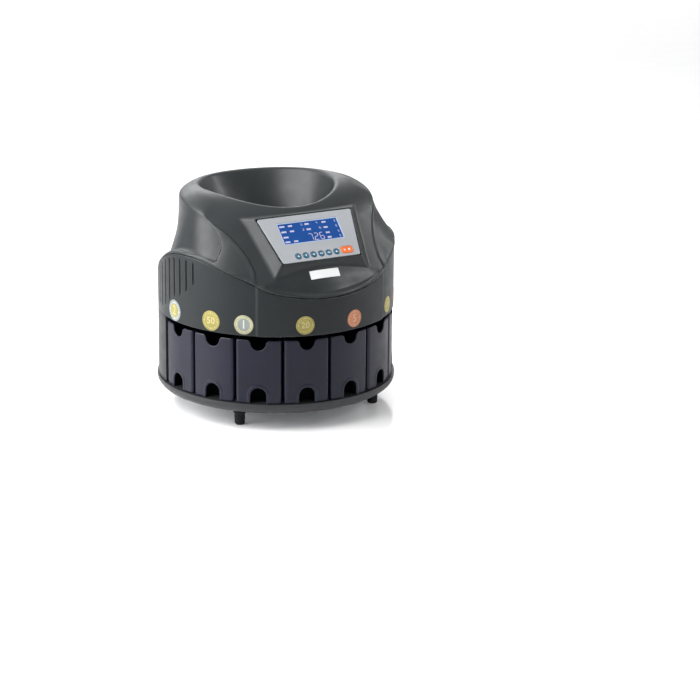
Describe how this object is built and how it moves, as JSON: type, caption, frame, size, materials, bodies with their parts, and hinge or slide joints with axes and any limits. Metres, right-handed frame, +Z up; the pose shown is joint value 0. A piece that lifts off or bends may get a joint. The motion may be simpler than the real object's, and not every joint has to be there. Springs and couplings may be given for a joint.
{
  "type": "coin sorting machine",
  "caption": "Round desktop coin sorting machine with a top hopper bowl, sloping display panel with keys, and a ring of pull-out coin drawers under graded coin slots.",
  "frame": {"origin": "on the standing surface, under the axis of the sorting disc", "axes": "+Z up along the disc's axis, -Y towards the front with the control panel, +X to the machine's left side as it faces out (right in a front view)"},
  "size_m": [0.29, 0.29, 0.2645],
  "materials": {
    "casing": "satin charcoal moulding",
    "base_plastic": "satin dark grey moulding",
    "drawer_plastic": "smoky violet-black moulding",
    "rubber": "black rubber",
    "zinc_steel": "zinc-coated sheet",
    "steel": "plain steel",
    "inner_plastic": "black moulding",
    "deck_metal": "machined plate",
    "disc_plastic": "dark grey moulding",
    "brass": "sintered brass",
    "gear_plastic": "natural acetal",
    "motor_can": "motor can",
    "circuit_board": "circuit board and parts",
    "black_plastic": "black moulding",
    "panel_silver": "silver grey fascia",
    "display_glass": "blue display window",
    "key_blue": "blue key",
    "key_orange": "orange key",
    "label_white": "blank white label",
    "sticker_two_tone": "printed film",
    "sticker_brass": "printed film",
    "sticker_copper": "printed film"
  },
  "bodies": {
    "base": {"base_tray": "base_plastic", "bottom_plate": "zinc_steel", "base_screws": "steel", "rubber_feet": "rubber", "core_tube": "inner_plastic", "bay_walls": "inner_plastic", "middle_housing": "casing", "hinge_pin": "steel", "sorting_deck": "deck_metal", "deck_screws": "steel", "coin_sensors": "black_plastic", "guide_ring": "steel", "gear_plate": "deck_metal", "upper_bush": "brass", "lower_bush": "brass", "drive_motor": "motor_can", "power_supply": "circuit_board", "main_board": "circuit_board", "power_inlet": "black_plastic", "inlet_blades": "brass", "switch_frame": "black_plastic", "stickers_two_tone": "sticker_two_tone", "stickers_brass": "sticker_brass", "stickers_copper": "sticker_copper"},
    "rotor": {"sorting_disc": "disc_plastic", "disc_nut": "steel", "main_shaft": "steel", "shaft_clip": "steel", "drive_gear": "gear_plastic"},
    "pinion": {"motor_pinion": "gear_plastic", "motor_shaft": "steel"},
    "rocker": {"power_rocker": "black_plastic"},
    "cover": {"upper_cover": "casing", "control_panel": "panel_silver", "display_lens": "display_glass", "display_module": "black_plastic", "display_board": "circuit_board", "display_screws": "steel", "blank_label": "label_white"},
    "drawer_1": {"coin_drawer_1": "drawer_plastic"},
    "drawer_2": {"coin_drawer_2": "drawer_plastic"},
    "drawer_3": {"coin_drawer_3": "drawer_plastic"},
    "drawer_4": {"coin_drawer_4": "drawer_plastic"},
    "drawer_5": {"coin_drawer_5": "drawer_plastic"},
    "drawer_6": {"coin_drawer_6": "drawer_plastic"},
    "drawer_7": {"coin_drawer_7": "drawer_plastic"},
    "drawer_8": {"coin_drawer_8": "drawer_plastic"},
    "key_1": {"panel_key_1": "key_blue"},
    "key_2": {"panel_key_2": "key_blue"},
    "key_3": {"panel_key_3": "key_blue"},
    "key_4": {"panel_key_4": "key_blue"},
    "key_5": {"panel_key_5": "key_blue"},
    "key_6": {"panel_key_6": "key_blue"},
    "key_start": {"start_key": "key_orange"}
  },
  "joints": [
    {"name": "cover_hinge", "type": "hinge", "parent": "base", "child": "cover", "pos_m": [0, 0.14, 0.1528], "axis": [-1, 0, 0], "range_deg": [0, 65]},
    {"name": "disc_spin", "type": "hinge", "parent": "base", "child": "rotor", "pos_m": [0, 0, 0.11], "axis": [0, 0, 1], "continuous": true},
    {"name": "pinion_spin", "type": "hinge", "parent": "base", "child": "pinion", "pos_m": [0.0375, 0, 0.105], "axis": [0, 0, 1], "continuous": true},
    {"name": "power_switch", "type": "hinge", "parent": "base", "child": "rocker", "pos_m": [0.03613, 0.13484, 0.07], "axis": [0.9659, -0.2588, 0], "range_deg": [0, 16]},
    {"name": "drawer_1_slide", "type": "slide", "parent": "base", "child": "drawer_1", "axis": [-0.9904, -0.1379, 0], "range_m": [0, 0.085]},
    {"name": "drawer_2_slide", "type": "slide", "parent": "base", "child": "drawer_2", "axis": [-0.8538, -0.5206, 0], "range_m": [0, 0.085]},
    {"name": "drawer_3_slide", "type": "slide", "parent": "base", "child": "drawer_3", "axis": [-0.5761, -0.8174, 0], "range_m": [0, 0.085]},
    {"name": "drawer_4_slide", "type": "slide", "parent": "base", "child": "drawer_4", "axis": [-0.2032, -0.9791, 0], "range_m": [0, 0.085]},
    {"name": "drawer_5_slide", "type": "slide", "parent": "base", "child": "drawer_5", "axis": [0.2032, -0.9791, 0], "range_m": [0, 0.085]},
    {"name": "drawer_6_slide", "type": "slide", "parent": "base", "child": "drawer_6", "axis": [0.5761, -0.8174, 0], "range_m": [0, 0.085]},
    {"name": "drawer_7_slide", "type": "slide", "parent": "base", "child": "drawer_7", "axis": [0.8538, -0.5206, 0], "range_m": [0, 0.085]},
    {"name": "drawer_8_slide", "type": "slide", "parent": "base", "child": "drawer_8", "axis": [0.9904, -0.1379, 0], "range_m": [0, 0.085]},
    {"name": "key_1_press", "type": "slide", "parent": "cover", "child": "key_1", "axis": [0, 0.6691, -0.7431], "range_m": [0, 0.0008], "stiffness_N_per_m": 1500},
    {"name": "key_2_press", "type": "slide", "parent": "cover", "child": "key_2", "axis": [0, 0.6691, -0.7431], "range_m": [0, 0.0008], "stiffness_N_per_m": 1500},
    {"name": "key_3_press", "type": "slide", "parent": "cover", "child": "key_3", "axis": [0, 0.6691, -0.7431], "range_m": [0, 0.0008], "stiffness_N_per_m": 1500},
    {"name": "key_4_press", "type": "slide", "parent": "cover", "child": "key_4", "axis": [0, 0.6691, -0.7431], "range_m": [0, 0.0008], "stiffness_N_per_m": 1500},
    {"name": "key_5_press", "type": "slide", "parent": "cover", "child": "key_5", "axis": [0, 0.6691, -0.7431], "range_m": [0, 0.0008], "stiffness_N_per_m": 1500},
    {"name": "key_6_press", "type": "slide", "parent": "cover", "child": "key_6", "axis": [0, 0.6691, -0.7431], "range_m": [0, 0.0008], "stiffness_N_per_m": 1500},
    {"name": "key_start_press", "type": "slide", "parent": "cover", "child": "key_start", "axis": [0, 0.6691, -0.7431], "range_m": [0, 0.0008], "stiffness_N_per_m": 1500}
  ],
  "couplings": [
    {"joint": "pinion_spin", "follows": "disc_spin", "ratio": -4}
  ]
}
